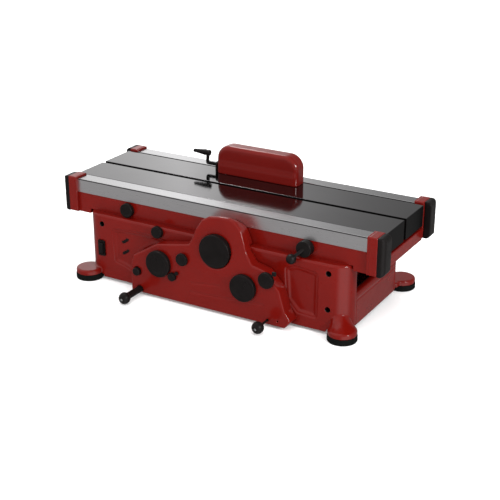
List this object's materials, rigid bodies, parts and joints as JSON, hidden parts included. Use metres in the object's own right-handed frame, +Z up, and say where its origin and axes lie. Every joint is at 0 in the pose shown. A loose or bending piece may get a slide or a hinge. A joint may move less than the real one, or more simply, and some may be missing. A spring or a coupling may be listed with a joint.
{
  "type": "thickness planer",
  "caption": "Bench-top thickness planer with a split polished deck on rails, a red base with a feed tunnel, a crank-set cutter head and a rear dust port.",
  "frame": {"origin": "on the floor at the centre of the machine's footprint", "axes": "+X along the deck and the feed, +Y to the back, +Z up"},
  "size_m": [1, 0.635, 0.365],
  "materials": {
    "red_paint": "gloss red enamel",
    "red_casting": "gloss red enamel on cast aluminium",
    "rail_aluminium": "brushed extrusion",
    "polished_table": "ground and polished",
    "black_plastic": "satin black",
    "rubber": "matt black",
    "bare_steel": "turned steel",
    "cast_aluminium": "as cast"
  },
  "bodies": {
    "frame": {"base_front": "red_casting", "base_rear": "red_casting", "bracket_front_left": "red_casting", "bracket_front_right": "red_casting", "bracket_rear_left": "red_casting", "bracket_rear_right": "red_casting", "crank_plate": "black_plastic", "crossbars": "red_paint", "deck_spine": "bare_steel", "drive_cover": "red_casting", "dust_hood": "red_casting", "end_caps": "black_plastic", "end_sill_left": "red_casting", "end_sill_right": "red_casting", "foot_screws": "bare_steel", "front_rail": "rail_aluminium", "front_table": "polished_table", "gear_housing": "red_casting", "guide_columns": "bare_steel", "motor_cap": "black_plastic", "rear_rail": "rail_aluminium", "rear_table": "polished_table", "rubber_feet": "rubber", "side_beam_front": "red_paint", "side_beam_rear": "red_paint", "switch_housing": "black_plastic", "thickness_bed": "polished_table"},
    "head": {"head_casting": "cast_aluminium", "cutter_bearings": "bare_steel", "motor_housing": "cast_aluminium", "drive_belt": "rubber", "feed_chain": "bare_steel", "lift_racks": "bare_steel"},
    "motor": {"motor_rotor": "bare_steel", "motor_pulley": "cast_aluminium"},
    "cutter": {"cutterblock": "bare_steel", "cutter_knives": "bare_steel", "cutter_pulley": "cast_aluminium"},
    "infeed": {"infeed_roller": "bare_steel"},
    "outfeed": {"outfeed_roller": "bare_steel"},
    "crank": {"crank_shaft": "bare_steel", "crank_arm": "black_plastic"},
    "grip": {"crank_grip": "black_plastic"},
    "bed_roller_1": {"bed_roller_left": "bare_steel"},
    "bed_roller_2": {"bed_roller_right": "bare_steel"},
    "left_roller_knob": {"roller_knob_left": "black_plastic"},
    "right_roller_knob": {"roller_knob_right": "black_plastic"},
    "speed": {"speed_knob": "black_plastic"},
    "selector": {"feed_selector": "black_plastic"},
    "depth_stop": {"depth_stop_knob": "black_plastic"},
    "rail_clamp": {"rail_knob": "black_plastic"},
    "hood_clamp": {"hood_knob": "black_plastic"},
    "reset": {"reset_button": "black_plastic"},
    "lever": {"feed_lever": "black_plastic", "lever_ball": "black_plastic"},
    "plunger_left": {"left_plunger": "black_plastic"},
    "plunger_right": {"right_plunger": "black_plastic"},
    "rocker": {"power_rocker": "black_plastic"}
  },
  "joints": [
    {"name": "crank_turn", "type": "hinge", "parent": "frame", "child": "crank", "pos_m": [-0.176, 0.09, 0.3016], "axis": [1, 0, 0], "range_deg": [-105, 105]},
    {"name": "head_lift", "type": "slide", "parent": "frame", "child": "head", "axis": [0, 0, 1], "range_m": [-0.02107, 0.02107]},
    {"name": "grip_spin", "type": "hinge", "parent": "crank", "child": "grip", "pos_m": [-0.2, 0.09, 0.3321], "axis": [1, 0, 0], "continuous": true},
    {"name": "motor_spin", "type": "hinge", "parent": "head", "child": "motor", "pos_m": [-0.082, 0, 0.201], "axis": [0, 1, 0], "continuous": true},
    {"name": "cutter_spin", "type": "hinge", "parent": "head", "child": "cutter", "pos_m": [0.038, 0, 0.186], "axis": [0, 1, 0], "continuous": true},
    {"name": "infeed_spin", "type": "hinge", "parent": "head", "child": "infeed", "pos_m": [0.1, 0, 0.1805], "axis": [0, 1, 0], "continuous": true},
    {"name": "outfeed_spin", "type": "hinge", "parent": "head", "child": "outfeed", "pos_m": [-0.024, 0, 0.1805], "axis": [0, 1, 0], "continuous": true},
    {"name": "bed_roller_left_spin", "type": "hinge", "parent": "frame", "child": "bed_roller_1", "pos_m": [-0.194, 0, 0.0993], "axis": [0, 1, 0], "continuous": true},
    {"name": "bed_roller_right_spin", "type": "hinge", "parent": "frame", "child": "bed_roller_2", "pos_m": [0.194, 0, 0.0993], "axis": [0, 1, 0], "continuous": true},
    {"name": "roller_knob_left_turn", "type": "hinge", "parent": "frame", "child": "left_roller_knob", "pos_m": [-0.1345, -0.236, 0.1105], "axis": [0, -1, 0], "range_deg": [-90, 90]},
    {"name": "roller_knob_right_turn", "type": "hinge", "parent": "frame", "child": "right_roller_knob", "pos_m": [0.132, -0.236, 0.099], "axis": [0, -1, 0], "range_deg": [-90, 90]},
    {"name": "speed_knob_turn", "type": "hinge", "parent": "frame", "child": "speed", "pos_m": [-0.059, -0.234, 0.138], "axis": [0, -1, 0], "range_deg": [0, 270]},
    {"name": "feed_selector_turn", "type": "hinge", "parent": "frame", "child": "selector", "pos_m": [0.201, -0.234, 0.1355], "axis": [0, -1, 0], "range_deg": [-45, 45]},
    {"name": "depth_stop_turn", "type": "hinge", "parent": "frame", "child": "depth_stop", "pos_m": [-0.0915, -0.234, 0.081], "axis": [0, -1, 0], "range_deg": [-120, 0]},
    {"name": "rail_knob_turn", "type": "hinge", "parent": "frame", "child": "rail_clamp", "pos_m": [-0.2785, -0.174, 0.2185], "axis": [0, -1, 0], "range_deg": [-360, 0]},
    {"name": "hood_knob_turn", "type": "hinge", "parent": "frame", "child": "hood_clamp", "pos_m": [-0.163, -0.196, 0.1835], "axis": [0, -1, 0], "range_deg": [-360, 0]},
    {"name": "reset_press", "type": "slide", "parent": "frame", "child": "reset", "axis": [0, 1, 0], "range_m": [0, 0.004], "stiffness_N_per_m": 600},
    {"name": "feed_lever_turn", "type": "hinge", "parent": "frame", "child": "lever", "pos_m": [0.282, -0.176, 0.221], "axis": [0, -1, 0], "range_deg": [-60, 60]},
    {"name": "left_plunger_pull", "type": "slide", "parent": "frame", "child": "plunger_left", "axis": [0, -1, 0], "range_m": [0, 0.025]},
    {"name": "right_plunger_pull", "type": "slide", "parent": "frame", "child": "plunger_right", "axis": [0, -1, 0], "range_m": [0, 0.02]},
    {"name": "rocker_tilt", "type": "hinge", "parent": "frame", "child": "rocker", "pos_m": [-0.359, -0.19, 0.0965], "axis": [1, 0, 0], "range_deg": [-8, 8]}
  ],
  "couplings": [
    {"joint": "crank_turn", "follows": "head_lift", "rad_per_m": 86.957},
    {"joint": "cutter_spin", "follows": "motor_spin", "ratio": 1.1429},
    {"joint": "infeed_spin", "follows": "motor_spin", "ratio": -0.02},
    {"joint": "outfeed_spin", "follows": "motor_spin", "ratio": -0.02}
  ]
}
